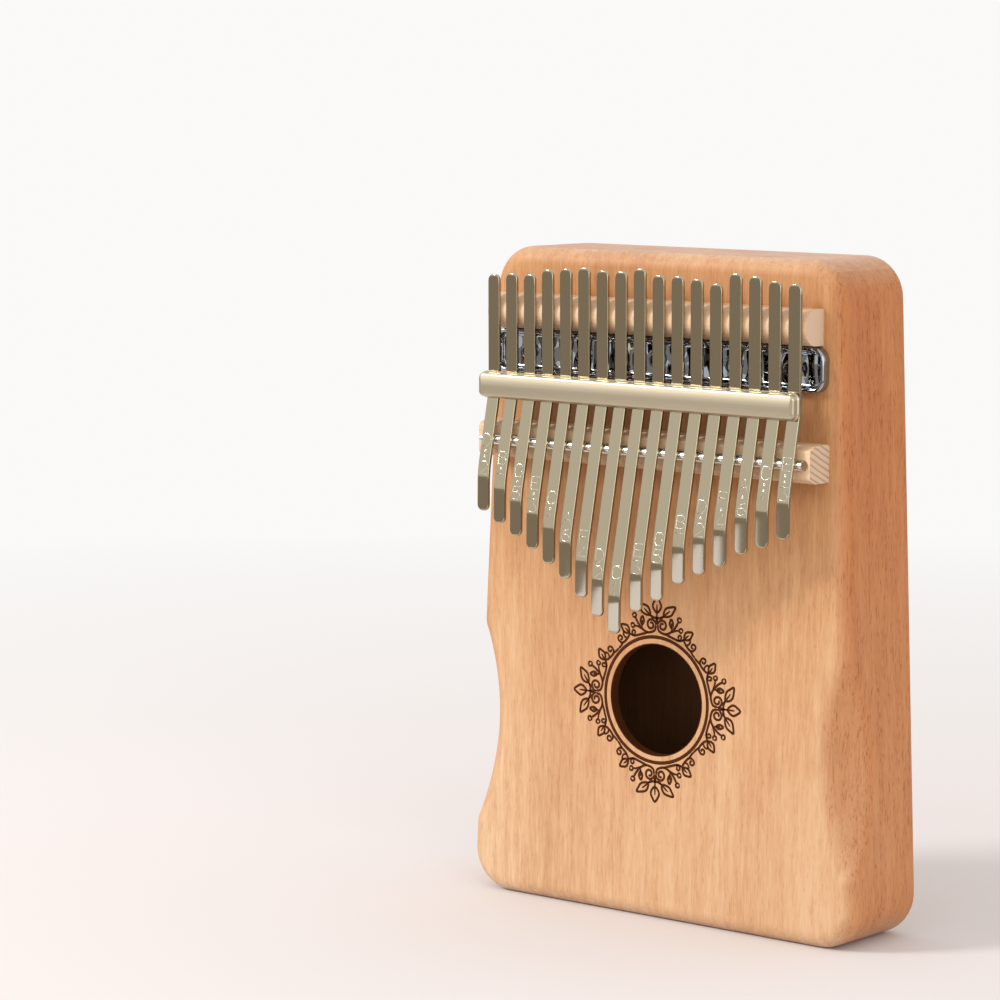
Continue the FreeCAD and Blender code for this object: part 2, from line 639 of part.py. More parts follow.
def make_strip(name, corners, number, bend_round):
    """A bent strip: its side view padded to the tine's width, then rounded."""
    body = add_body(name)
    sketch = add_sketch(body, name + "_sketch", "YZ_Plane")
    draw_polygon(sketch, corners)
    pad = add_pad(body, sketch, "dims.tine_width", symmetric=True)
    lengthwise = Vector(1, 0, 0)

    def crosses(corner):
        """A test for the edge across the strip at one corner of its side view."""
        along = read(corner[0])
        up = read(corner[1])
        return lambda edge: (runs_along(edge, lengthwise) and lies_at(edge, "Y", along)
                             and lies_at(edge, "Z", up))

    # The bend, and then the two corners of the free end.
    outer, inner = bend_round
    under, over = corners[1], corners[4]
    under_bend = add_fillet(body, pad, crosses(under), outer)
    over_bend = add_fillet(body, under_bend, crosses(over), inner)
    end_under = Vector(0, read(corners[2][0]), read(corners[2][1]))
    end_over = Vector(0, read(corners[3][0]), read(corners[3][1]))
    through = (end_over - end_under).normalize()
    middle = (end_over + end_under) * 0.5

    def at_end(edge):
        centre = edge.BoundBox.Center
        return runs_along(edge, through) and (Vector(0, centre.y, centre.z) - middle).Length < 0.01

    add_fillet(body, over_bend, at_end, "dims.tine_corner")
    across = f"{number - (TINE_COUNT - 1) / 2} * dims.tine_pitch"
    place(body, across, f"{FRONT} - dims.rod_out", "dims.rod_height",
          angle="-dims.front_slope")
    keep(body, name)


def make_tang(number):
    """The held part of a tine, from the rod back under the pressure bar and over the rear bar."""
    turn = "(dims.front_slope + dims.rear_slope)"
    bend = (f"((dims.press_bend_height - dims.rod_height + {UNDER} * sin(dims.front_slope))"
            " / cos(dims.front_slope))")
    run = f"((dims.rear_height_{number + 1:02d} - dims.press_bend_height) / cos(dims.rear_slope))"
    thick = "dims.tine_thick"
    gap = "tan(dims.split_angle)"
    end = (f"({UNDER} - {run} * sin({turn}))", f"({bend} + {run} * cos({turn}))")
    corners = (
        (UNDER, f"(-{UNDER} * {gap})"),
        (UNDER, bend),
        end,
        (f"({end[0]} - {thick} * cos({turn}))", f"({end[1]} - {thick} * sin({turn}))"),
        (OVER, f"({bend} - {thick} * tan({turn} / 2))"),
        (OVER, f"(-{OVER} * {gap})"),
    )
    radius = "dims.press_bend_round"
    make_strip(f"tine_{number + 1:02d}_tang", corners, number, (f"{radius} + {thick}", radius))


def make_reed(number):
    """The free part of a tine, from the rod down to its tip."""
    turn = "dims.front_slope"
    tip = "dims.tip_length"
    thick = "dims.tine_thick"
    gap = "tan(dims.split_angle)"
    knee = (f"(-(dims.rod_height - {UNDER} * sin({turn}) - {tip}"
            f" - dims.tip_height_{number + 1:02d}) / cos({turn}))")
    end = (f"({UNDER} + {tip} * sin({turn}))", f"({knee} - {tip} * cos({turn}))")
    corners = (
        (UNDER, f"({UNDER} * {gap})"),
        (UNDER, knee),
        end,
        (f"({end[0]} - {thick} * cos({turn}))", f"({end[1]} - {thick} * sin({turn}))"),
        (OVER, f"({knee} - {thick} * tan({turn} / 2))"),
        (OVER, f"({OVER} * {gap})"),
    )
    radius = "dims.tip_bend_round"
    make_strip(f"tine_{number + 1:02d}_reed", corners, number, (radius, f"{radius} + {thick}"))


def write_subparts():
    """Check every object of the document, then write each sub-part to its own file."""
    doc.recompute()
    for thing in doc.Objects:
        if "Invalid" in thing.State or "Error" in thing.State:
            raise RuntimeError(f"{thing.Name} failed: {thing.State}")
    for thing in subparts:
        if thing.Shape.isNull() or not thing.Shape.isValid() or not thing.Shape.Solids:
            raise RuntimeError(f"{thing.Label} has no valid shape")
    os.makedirs("parts", exist_ok=True)
    for thing in subparts:
        thing.Shape.exportStep(f"parts/{thing.Label}.step")
    print(len(subparts), "sub-parts written")


dims = fill_sheet()
box_blank = make_box_blank()
make_soundboard(box_blank)
make_back_board(box_blank)
make_frame(box_blank)
make_pin_block()
make_rear_bar()
make_bridge()
make_tray()
make_tray_screws()
make_pressure_bar()
make_studs()
for tine in range(TINE_COUNT):
    make_tang(tine)
    make_reed(tine)
write_subparts()
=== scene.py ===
"""Looks of the seventeen-note box kalimba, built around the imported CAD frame.

Metres, in the row frame: X across the front, Y from the front of the box to its
back, Z up. Lengths below are written in millimetres and multiplied by MM.
"""
import math

import bmesh
import bpy
import numpy as np
from mathutils import Matrix, Vector


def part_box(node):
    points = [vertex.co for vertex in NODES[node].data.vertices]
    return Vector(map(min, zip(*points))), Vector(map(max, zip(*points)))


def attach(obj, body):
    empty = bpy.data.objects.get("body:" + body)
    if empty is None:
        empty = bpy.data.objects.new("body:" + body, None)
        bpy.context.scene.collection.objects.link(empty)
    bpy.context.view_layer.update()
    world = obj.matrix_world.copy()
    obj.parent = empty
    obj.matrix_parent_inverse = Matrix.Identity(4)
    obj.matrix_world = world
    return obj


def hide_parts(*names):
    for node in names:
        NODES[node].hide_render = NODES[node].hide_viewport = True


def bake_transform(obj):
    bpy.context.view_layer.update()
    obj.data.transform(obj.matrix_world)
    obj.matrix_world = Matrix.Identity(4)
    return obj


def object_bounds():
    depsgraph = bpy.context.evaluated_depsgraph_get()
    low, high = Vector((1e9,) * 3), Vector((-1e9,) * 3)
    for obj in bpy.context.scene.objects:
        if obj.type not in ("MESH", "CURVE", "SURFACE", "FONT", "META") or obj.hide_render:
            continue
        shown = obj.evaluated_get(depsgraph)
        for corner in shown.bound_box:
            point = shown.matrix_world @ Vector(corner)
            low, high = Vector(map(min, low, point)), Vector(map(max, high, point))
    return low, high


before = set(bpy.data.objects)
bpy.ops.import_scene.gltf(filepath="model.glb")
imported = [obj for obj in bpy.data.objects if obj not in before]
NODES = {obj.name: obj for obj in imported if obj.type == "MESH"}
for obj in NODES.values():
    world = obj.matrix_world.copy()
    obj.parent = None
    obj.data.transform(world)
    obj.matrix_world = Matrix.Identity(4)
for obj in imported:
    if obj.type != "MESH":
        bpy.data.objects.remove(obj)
cad_low, cad_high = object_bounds()

MM = 0.001
SCENE = bpy.context.scene

# Places that several pieces share, in millimetres, from the CAD nodes.
FRONT_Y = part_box("soundboard")[0].y / MM
BOARD_BACK_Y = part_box("soundboard")[1].y / MM
ROD_LOW, ROD_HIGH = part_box("bridge_rod")
ROD_Y = (ROD_LOW.y + ROD_HIGH.y) / 2 / MM
ROD_Z = (ROD_LOW.z + ROD_HIGH.z) / 2 / MM


# Small helpers for shader nodes.

def linear(red, green, blue):
    """A colour given as display values from 0 to 255, as Blender's linear colour."""
    values = []
    for level in (red, green, blue):
        share = level / 255
        values.append(share / 12.92 if share <= 0.04045 else ((share + 0.055) / 1.055) ** 2.4)
    return (*values, 1.0)


class Surface:
    """A Principled material and the nodes that feed it."""

    def __init__(self, name, color, roughness, metallic=0.0, specular=0.5):
        self.material = bpy.data.materials.new(name)
        self.material.use_nodes = True
        self.tree = self.material.node_tree
        self.shader = self.tree.nodes["Principled BSDF"]
        self.shader.inputs["Base Color"].default_value = color
        self.shader.inputs["Roughness"].default_value = roughness
        self.shader.inputs["Metallic"].default_value = metallic
        self.shader.inputs["Specular IOR Level"].default_value = specular
        self.place = self.tree.nodes.new("ShaderNodeTexCoord").outputs["Object"]

    def node(self, kind, **settings):
        made = self.tree.nodes.new(kind)
        for key, value in settings.items():
            setattr(made, key, value)
        return made

    def feed(self, socket, source):
        """Link a source to a socket, or set the socket to a plain value."""
        if isinstance(source, bpy.types.NodeSocket):
            self.tree.links.new(source, socket)
        else:
            socket.default_value = source

    def stretch(self, scale, turn=(0, 0, 0), shift=(0, 0, 0), source=None):
        """Object coordinates turned, shifted and scaled, per metre."""
        mapping = self.node("ShaderNodeMapping")
        self.feed(mapping.inputs["Vector"], source or self.place)
        mapping.inputs["Rotation"].default_value = turn
        mapping.inputs["Location"].default_value = shift
        mapping.inputs["Scale"].default_value = scale
        return mapping.outputs["Vector"]

    def noise(self, vector, detail=2.0, roughness=0.5, distortion=0.0):
        made = self.node("ShaderNodeTexNoise")
        self.feed(made.inputs["Vector"], vector)
        made.inputs["Scale"].default_value = 1.0
        made.inputs["Detail"].default_value = detail
        made.inputs["Roughness"].default_value = roughness
        made.inputs["Distortion"].default_value = distortion
        return made.outputs[0]

    def math(self, operation, first, second=0.0):
        made = self.node("ShaderNodeMath", operation=operation)
        self.feed(made.inputs[0], first)
        self.feed(made.inputs[1], second)
        return made.outputs[0]

    def ramp(self, source, *stops):
        """A ramp through (place, colour) stops."""
        made = self.node("ShaderNodeValToRGB")
        self.feed(made.inputs[0], source)
        elements = made.color_ramp.elements
        while len(elements) < len(stops):
            elements.new(0.5)
        for element, (position, color) in zip(elements, stops):
            element.position = position
            element.color = color
        return made.outputs[0]

    def mask(self, source, low, high):
        """0 below low and 1 above high."""
        made = self.node("ShaderNodeMapRange")
        self.feed(made.inputs["Value"], source)
        made.inputs["From Min"].default_value = low
        made.inputs["From Max"].default_value = high
        return made.outputs["Result"]

    def mix(self, factor, first, second, blend="MIX"):
        made = self.node("ShaderNodeMix", data_type="RGBA", blend_type=blend)
        self.feed(made.inputs[0], factor)
        self.feed(made.inputs[6], first)
        self.feed(made.inputs[7], second)
        return made.outputs[2]

    def bump(self, height, strength, distance):
        made = self.node("ShaderNodeBump")
        self.feed(made.inputs["Height"], height)
        made.inputs["Strength"].default_value = strength
        made.inputs["Distance"].default_value = distance
        self.feed(self.shader.inputs["Normal"], made.outputs[0])


# Materials.

FRONT_DARK = linear(183, 134, 95)
FRONT_MIDDLE = linear(198, 153, 113)
FRONT_LIGHT = linear(208, 170, 132)
PORE_TINT = (0.42, 0.30, 0.22, 1)
END_TINT = (0.86, 0.92, 1.0, 1)
# Painted shade for the faces inside the box.
HOLLOW_PAINTED_SHADE = (0.22, 0.15, 0.10, 1)
# Painted shade darkens and warms the boards towards the tuning end, and painted light
# pales them at the player's lower left. Where the two start and end, in metres.
WARM_PAINTED_SHADE = (0.91, 0.775, 0.61, 1)
PAINTED_SHADE_START = 0.015
PAINTED_SHADE_FULL = 0.135
PAINTED_LIGHT_TINT = (1.12, 1.26, 1.38, 1)
PAINTED_LIGHT_SIDE = -0.058
PAINTED_LIGHT_MIDDLE = -0.004
PAINTED_LIGHT_TOP = 0.11
UPRIGHT_GRAIN = (0, 0, 0)
LEVEL_GRAIN = (0, math.radians(90), 0)
BOARD_SHIFT = (0.31, 0.17, 0.05)
CAP_SHIFT = (0.12, 0.63, 0.29)
# Painted shade for faces turned to the side and painted light for faces turned up, on the boards
# and on the end caps.
SIDE_PAINTED_SHADE = (0.89, 0.635, 0.46, 1)
TOP_PAINTED_LIGHT = (0.98, 1.08, 1.30, 1)
CAP_SIDE_PAINTED_SHADE = (0.92, 0.74, 0.62, 1)
CAP_TOP_PAINTED_LIGHT = (0.96, 0.98, 1.18, 1)
# Repeats of each grain pattern per metre, along X, Y and Z of an upright board.
SWAY_SCALE = (14, 14, 6)
BAND_SCALE = (46, 46, 6.0)
STREAK_SCALE = (430, 430, 34)
FIBRE_SCALE = (1500, 1500, 150)
FLECK_SCALE = (2700, 2700, 420)
PATCH_SCALE = (24, 24, 14)
SWAY_REACH = (0.004, 0.004, 0.0)
BAND_SHARE = 0.26
STREAK_SHARE = 0.30
FIBRE_SHARE = 0.26
PATCH_SHARE = 0.18

# The hollow of the box, which daylight hardly reaches, where the wood gets painted
# shade: half its width and the change of that with height, its half depth, its
# middle height and half height.
HOLLOW_WIDTH = 0.0590
HOLLOW_LEAN = 0.0440
HOLLOW_DEPTH = 0.0135
HOLLOW_MIDDLE = 0.0925
HOLLOW_HEIGHT = 0.0880
HOLLOW_EDGE = 0.0008


def paint_hollow_shade(wood, color, share):
    """Paint shade into a wood's colour on the faces inside the box."""
    split = wood.node("ShaderNodeSeparateXYZ")
    wood.feed(split.inputs[0], wood.place)
    width = wood.math("MULTIPLY", split.outputs["Z"], HOLLOW_LEAN)
    width = wood.math("ADD", wood.math("ABSOLUTE", split.outputs["X"]), width)
    across = wood.math("SUBTRACT", width, HOLLOW_WIDTH)
    deep = wood.math("SUBTRACT", wood.math("ABSOLUTE", split.outputs["Y"]), HOLLOW_DEPTH)
    rise = wood.math("SUBTRACT", split.outputs["Z"], HOLLOW_MIDDLE)
    high = wood.math("SUBTRACT", wood.math("ABSOLUTE", rise), HOLLOW_HEIGHT)
    outside = wood.math("MAXIMUM", wood.math("MAXIMUM", across, deep), high)
    inside = wood.mask(outside, HOLLOW_EDGE, -HOLLOW_EDGE / 4)
    return wood.mix(inside, color, share, "MULTIPLY")


def paint_shade_and_light_along_board(wood, color, upwards):
    """Paint shade into the wood towards the tuning end and paint light at the player's lower left.
    """
    split = wood.node("ShaderNodeSeparateXYZ")
    wood.feed(split.inputs[0], wood.place)
    level = wood.math("SUBTRACT", 1.0, upwards)
    upper_shade = wood.mask(split.outputs["Z"], PAINTED_SHADE_START, PAINTED_SHADE_FULL)
    color = wood.mix(wood.math("MULTIPLY", upper_shade, level), color, WARM_PAINTED_SHADE, "MULTIPLY")
    left = wood.mask(split.outputs["X"], PAINTED_LIGHT_MIDDLE, PAINTED_LIGHT_SIDE)
    low = wood.mask(split.outputs["Z"], PAINTED_LIGHT_TOP, 0.0)
    return wood.mix(wood.math("MULTIPLY", left, low), color, PAINTED_LIGHT_TINT, "MULTIPLY")


def make_wood(name, turn, shift, side_shade, top_light):
    """Open-pored reddish wood: soft bands, dense fibre and short dark pores along the grain.

    Faces turned to the side get painted shade, browner, and faces turned up get
    painted light, pinker, and one tone runs into the next round the rims.
    """
    wood = Surface(name, FRONT_MIDDLE, 0.5, specular=0.3)
    sway = wood.noise(wood.stretch(SWAY_SCALE, turn, shift), 1.0)
    place = wood.node("ShaderNodeVectorMath", operation="MULTIPLY_ADD")
    wood.feed(place.inputs[0], sway)
    place.inputs[1].default_value = SWAY_REACH
    wood.feed(place.inputs[2], wood.place)
    base = place.outputs[0]
    bands = wood.noise(wood.stretch(BAND_SCALE, turn, shift, base), 2.0, 0.55)
    streaks = wood.noise(wood.stretch(STREAK_SCALE, turn, shift, base), 3.0, 0.65)
    fibre = wood.noise(wood.stretch(FIBRE_SCALE, turn, shift, base), 2.0, 0.65)
    flecks = wood.noise(wood.stretch(FLECK_SCALE, turn, shift, base), 1.0, 0.5)
    patches = wood.noise(wood.stretch(PATCH_SCALE, turn, shift, base), 2.0, 0.5)
    tone = wood.math("MULTIPLY", bands, BAND_SHARE)
    tone = wood.math("ADD", tone, wood.math("MULTIPLY", streaks, STREAK_SHARE))
    tone = wood.math("ADD", tone, wood.math("MULTIPLY", fibre, FIBRE_SHARE))
    tone = wood.math("ADD", tone, wood.math("MULTIPLY", patches, PATCH_SHARE))
    color = wood.ramp(tone, (0.38, FRONT_DARK), (0.50, FRONT_MIDDLE), (0.62, FRONT_LIGHT))
    normal = wood.node("ShaderNodeSeparateXYZ")
    wood.feed(normal.inputs[0], wood.node("ShaderNodeTexCoord").outputs["Normal"])
    sideways = wood.mask(wood.math("ABSOLUTE", normal.outputs["X"]), 0.22, 0.95)
    upwards = wood.mask(wood.math("ABSOLUTE", normal.outputs["Z"]), 0.30, 0.95)
    # Painted shade on faces turned to the side, painted light on faces turned up.
    color = wood.mix(sideways, color, side_shade, "MULTIPLY")
    color = wood.mix(upwards, color, top_light, "MULTIPLY")
    # Painted shade towards the tuning end, painted light at the player's lower left.
    color = paint_shade_and_light_along_board(wood, color, upwards)
    pores = wood.mask(flecks, 0.56, 0.70)
    crowd = wood.mask(streaks, 0.66, 0.42)
    depth = wood.math("ADD", wood.math("MULTIPLY", sideways, 0.42), 0.24)
    pores = wood.math("MULTIPLY", pores, wood.math("MULTIPLY", crowd, depth))
    color = wood.mix(pores, color, PORE_TINT, "MULTIPLY")
    # Painted shade on the faces inside the box.
    color = paint_hollow_shade(wood, color, HOLLOW_PAINTED_SHADE)
    wood.feed(wood.shader.inputs["Base Color"], color)
    relief = wood.math("SUBTRACT", wood.math("MULTIPLY", fibre, 0.4), pores)
    wood.bump(relief, 0.3, 0.00012)
    return wood.material


BEECH_GRAIN_SCALE = (40, 1500, 1500)
BEECH_FLECK_SCALE = (260, 2600, 2600)
RING_SWAY_SCALE = (12, 160, 160)
RING_LEAN_Y = 0.42
RING_LEAN_Z = 0.91
RINGS_PER_METRE = 640.0
RING_SWAY = 0.3
FLECK_DEPTH = 0.18


def make_beech(name, shade, light, ring, ring_share):
    """Pale beech, with slanting growth rings on the ends where ring_share is above 0."""
    beech = Surface(name, light, 0.5, specular=0.3)
    grain = beech.noise(beech.stretch(BEECH_GRAIN_SCALE), 2.0, 0.6)
    flecks = beech.mask(beech.noise(beech.stretch(BEECH_FLECK_SCALE), 1.0), 0.6, 0.72)
    color = beech.mix(grain, shade, light)
    normal = beech.node("ShaderNodeSeparateXYZ")
    beech.feed(normal.inputs[0], beech.node("ShaderNodeTexCoord").outputs["Normal"])
    on_end = beech.mask(beech.math("ABSOLUTE", normal.outputs["X"]), 0.5, 0.9)
    color = beech.mix(on_end, color, END_TINT, "MULTIPLY")
    if ring_share:
        sway = beech.noise(beech.stretch(RING_SWAY_SCALE), 1.0)
        split = beech.node("ShaderNodeSeparateXYZ")
        beech.feed(split.inputs[0], beech.place)
        slant = beech.math("ADD", beech.math("MULTIPLY", split.outputs["Y"], RING_LEAN_Y),
                           beech.math("MULTIPLY", split.outputs["Z"], RING_LEAN_Z))
        swayed = beech.math("ADD", beech.math("MULTIPLY", slant, RINGS_PER_METRE),
                            beech.math("MULTIPLY", sway, RING_SWAY))
        phase = beech.math("SUBTRACT", beech.math("FRACT", swayed), 0.5)
        lines = beech.mask(beech.math("ABSOLUTE", phase), 0.24, 0.44)
        share = beech.math("MULTIPLY", beech.math("MULTIPLY", lines, on_end), ring_share)
        color = beech.mix(share, color, ring)
    color = beech.mix(beech.math("MULTIPLY", flecks, FLECK_DEPTH), color, ring)
    # Painted shade on the faces inside the box.
    color = paint_hollow_shade(beech, color, HOLLOW_PAINTED_SHADE)
    beech.feed(beech.shader.inputs["Base Color"], color)
    beech.bump(grain, 0.12, 0.0001)
    return beech.material


def make_metal(name, color, roughness, brushing=0.0, dents=0.0):
    """A metal, with a faint grain along X or shallow stamped dents where they are above 0."""
    metal = Surface(name, color, roughness, metallic=1.0)
    if brushing:
        grain = metal.noise(metal.stretch((90, 2600, 2600)), 3.0, 0.6)
        metal.bump(grain, brushing, 0.00004)
    if dents:
        waves = metal.noise(metal.stretch((150, 150, 110)), 1.0, 0.5)
        metal.bump(waves, dents, 0.0012)
    return metal.material


FRONT_WOOD = make_wood("mahogany_front", UPRIGHT_GRAIN, BOARD_SHIFT, SIDE_PAINTED_SHADE, TOP_PAINTED_LIGHT)
SIDE_WOOD = make_wood("mahogany_side", UPRIGHT_GRAIN, BOARD_SHIFT, SIDE_PAINTED_SHADE, TOP_PAINTED_LIGHT)
CAP_WOOD = make_wood("mahogany_cap", LEVEL_GRAIN, CAP_SHIFT, CAP_SIDE_PAINTED_SHADE, CAP_TOP_PAINTED_LIGHT)
BLOCK_WOOD = make_beech("block_wood", linear(196, 158, 116), linear(212, 176, 134),
                        linear(172, 128, 90), 0.4)
REAR_BAR_WOOD = make_beech("rear_bar_wood", linear(212, 175, 139), linear(224, 191, 156),
                           linear(184, 142, 110), 0.0)
BRIDGE_WOOD = make_beech("bridge_wood", linear(212, 175, 139), linear(226, 194, 158),
                         linear(140, 102, 84), 0.6)
TINE_STEEL = make_metal("tine_steel", (0.455, 0.395, 0.275, 1), 0.07)
STAMPED_STEEL = make_metal("stamped_steel", (0.61, 0.57, 0.47, 1), 0.2)
ROD_STEEL = make_metal("rod_steel", (0.72, 0.70, 0.66, 1), 0.12)
CHROME = make_metal("tray_chrome", (0.36, 0.385, 0.43, 1), 0.04, dents=0.9)
BAR_NICKEL = make_metal("bar_nickel", (0.54, 0.465, 0.335, 1), 0.35, brushing=0.10)
ZINC = make_metal("fastener_zinc", (0.62, 0.62, 0.60, 1), 0.3)
BURNT_WOOD = Surface("burnt_wood", linear(74, 37, 14), 0.85, specular=0.08).material


def dress(node, material):
    """Give a CAD node its material."""
    mesh = NODES[node].data
    mesh.materials.clear()
    mesh.materials.append(material)


def dress_cad_nodes():
    for node, material in (
            ("soundboard", FRONT_WOOD), ("back_board", FRONT_WOOD),
            ("frame_left", SIDE_WOOD), ("frame_right", SIDE_WOOD),
            ("frame_top", CAP_WOOD), ("frame_bottom", CAP_WOOD),
            ("pin_block", BLOCK_WOOD), ("rear_bar", REAR_BAR_WOOD), ("bridge_bar", BRIDGE_WOOD),
            ("bridge_rod", ROD_STEEL), ("tray_screws", CHROME), ("pressure_bar_studs", ZINC),
            ("stud_washers", ZINC), ("stud_nuts", ZINC)):
        dress(node, material)


# Meshes.

def add_mesh(name, points, faces, material, smooth=True):
    """A mesh object from points in millimetres."""
    mesh = bpy.data.meshes.new(name)
    mesh.from_pydata([Vector(point) * MM for point in points], [], faces)
    mesh.validate()
    mesh.polygons.foreach_set("use_smooth", [smooth] * len(mesh.polygons))
    mesh.materials.append(material)
    thing = bpy.data.objects.new(name, mesh)
    SCENE.collection.objects.link(thing)
    return thing


def keep_flats_flat(thing):
    """Weight the normals by face size, so that small roundings don't shade the flats."""
    weighted = thing.modifiers.new("flats", "WEIGHTED_NORMAL")
    weighted.keep_sharp = True


def face_outwards(thing):
    """Turn every face of a closed mesh outwards."""
    shell = bmesh.new()
    shell.from_mesh(thing.data)
    bmesh.ops.recalc_face_normals(shell, faces=shell.faces)
    shell.to_mesh(thing.data)
    shell.free()


def tube_faces(rings, around):
    """Quads between rings of points, each ring closed."""
    faces = []
    for ring in range(rings - 1):
        for step in range(around):
            following = (step + 1) % around
            low = ring * around
            high = low + around
            faces.append((low + step, high + step, high + following, low + following))
    return faces


# The two stamped metal pieces.

CORNER_STEPS = 10
LEAST_RADIUS = 0.02
TRAY_CORNER = 3.5
TRAY_RIM = 1.3
TRAY_ROUND = 0.6
TRAY_FLOOR = 0.9
TRAY_BLEND = 1.0
PRESS_CORNER = 2.0
PRESS_ROUND = 0.9
PRESS_SHEET = 1.0
PRESS_CROWN = 0.22
PRESS_LIP = 0.4
END_SHARE = 0.2


def quarter(centre, radius, start, end, steps=6):
    """Points of an arc as (inset, depth), angles in degrees."""
    points = []
    for step in range(steps + 1):
        angle = math.radians(start + (end - start) * step / steps)
        points.append((centre[0] + radius * math.cos(angle), centre[1] + radius * math.sin(angle)))
    return points


def rounded_outline(low, high, inset, corner, end_inset):
    """A rounded rectangle round a node's box, drawn in by an inset."""
    radius = max(corner - inset, LEAST_RADIUS)
    right = high.x / MM - end_inset - radius
    left = low.x / MM + end_inset + radius
    top = high.z / MM - inset - radius
    bottom = low.z / MM + inset + radius
    points = []
    for across, up, start in ((right, top, 0), (left, top, 90), (left, bottom, 180),
                              (right, bottom, 270)):
        for step in range(CORNER_STEPS + 1):
            angle = math.radians(start + 90 * step / CORNER_STEPS)
            points.append((across + radius * math.cos(angle), up + radius * math.sin(angle)))
    return points


def add_stamping(node, corner, profile, material, end_reach=math.inf):
    """A stamped piece from its profile, as (inset, depth) from one middle to the other.

    Beyond end_reach the short ends are drawn in less than the long edges.
    """
    low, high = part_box(node)
    points = []
    for inset, depth in profile:
        end_inset = min(inset, end_reach + max(0.0, inset - end_reach) * END_SHARE)
        for across, up in rounded_outline(low, high, inset, corner, end_inset):
            points.append((across, depth, up))
    around = 4 * (CORNER_STEPS + 1)
    faces = tube_faces(len(profile), around)
    faces.append(tuple(range(around)))
    last = len(points) - around
    faces.append(tuple(range(last, last + around)))
    stamping = add_mesh(node + "_stamped", points, faces, material)
    face_outwards(stamping)
    keep_flats_flat(stamping)
    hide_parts(node)
    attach(stamping, "root")
    return stamping


def add_tray():
    """The chrome pan between the bars, with a rolled rim."""
    low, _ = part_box("anchor_tray")
    crest = low.y / MM
    shoulder = crest + TRAY_ROUND
    floor = FRONT_Y - TRAY_FLOOR
    profile = [(TRAY_RIM, FRONT_Y), (0.2, FRONT_Y), (0.0, FRONT_Y - 0.2)]
    profile += quarter((TRAY_ROUND, shoulder), TRAY_ROUND, 180, 270)
    profile += quarter((TRAY_RIM - TRAY_ROUND, shoulder), TRAY_ROUND, 270, 360)
    profile += quarter((TRAY_RIM + TRAY_BLEND, floor - TRAY_BLEND), TRAY_BLEND, 180, 90)
    add_stamping("anchor_tray", TRAY_CORNER, profile, CHROME)


def add_pressure_bar():
    """The satin channel across the tines, slightly crowned, with a turned-down edge."""
    low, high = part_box("pressure_bar")
    crest = low.y / MM
    foot = high.y / MM
    middle = (high.z - low.z) / 2 / MM
    profile = []
    for share in (0.02, 0.2, 0.4, 0.6, 0.8):
        inset = middle - (middle - PRESS_LIP - PRESS_ROUND) * share
        profile.append((inset, crest + PRESS_CROWN * share ** 2))
    shoulder = crest + PRESS_CROWN + PRESS_ROUND
    profile += quarter((PRESS_LIP + PRESS_ROUND, shoulder), PRESS_ROUND, 270, 180, 8)
    profile += [(PRESS_LIP, foot - 0.95), (PRESS_LIP - 0.1, foot - 0.75), (0.08, foot - 0.6),
                (0.0, foot - 0.45), (0.0, foot - 0.15), (0.15, foot), (PRESS_SHEET - 0.15, foot),
                (PRESS_SHEET, foot - 0.15), (PRESS_SHEET, shoulder),
                (PRESS_SHEET + 0.5, crest + PRESS_CROWN + PRESS_SHEET)]
    add_stamping("pressure_bar", PRESS_CORNER, profile, BAR_NICKEL,
                 PRESS_LIP + PRESS_ROUND)


# Tines.

TINE_COUNT = 17
TINE_PITCH = 6.36
TINE_WIDTH = 3.9
TINE_THICK = 1.0
TINE_CORNER = 1.75
TINE_EDGE = 0.22
ROD_GAP = 0.03
FRONT_SLOPE = math.radians(11.5)
REAR_SLOPE = math.radians(0.8)
PRESS_BEND_Z = 145.25
PRESS_BEND_RADIUS = 12.0
TIP_BEND_RADIUS = 30.0
TIP_LENGTH = 11.1
ROW_STEP = 1.6
ARC_STEP = math.radians(1.5)


def corner_path(corners, radii):
    """Straight runs and arcs through corners, as (start, length, point, heading, curvature)."""
    spans = []
    start = 0.0
    here = np.array(corners[0], float)
    for number in range(1, len(corners)):
        corner = np.array(corners[number], float)
        run = corner - here
        heading = math.atan2(run[1], run[0])
        cut_back = 0.0
        turn = 0.0
        if number < len(corners) - 1:
            following = np.array(corners[number + 1], float) - corner
            turn = math.atan2(following[1], following[0]) - heading
            turn = math.atan2(math.sin(turn), math.cos(turn))
            cut_back = radii[number - 1] * math.tan(abs(turn) / 2)
        length = float(np.hypot(*run)) - cut_back
        spans.append((start, length, here.copy(), heading, 0.0))
        start += length
        here = here + length * np.array((math.cos(heading), math.sin(heading)))
        if turn:
            radius = radii[number - 1]
            arc = radius * abs(turn)
            curvature = math.copysign(1 / radius, turn)
            spans.append((start, arc, here.copy(), heading, curvature))
            start += arc
            here = corner + cut_back * following / np.hypot(*following)
    return spans


def along(spans, distance):
    """The point and heading at a distance along a path."""
    for span in spans:
        start, length, point, heading, curvature = span
        if distance <= start + length or span is spans[-1]:
            break
    step = distance - start
    if curvature == 0:
        return point + step * np.array((math.cos(heading), math.sin(heading))), heading
    turned = heading + curvature * step
    offset = np.array((math.sin(turned) - math.sin(heading),
                       math.cos(heading) - math.cos(turned))) / curvature
    return point + offset, turned


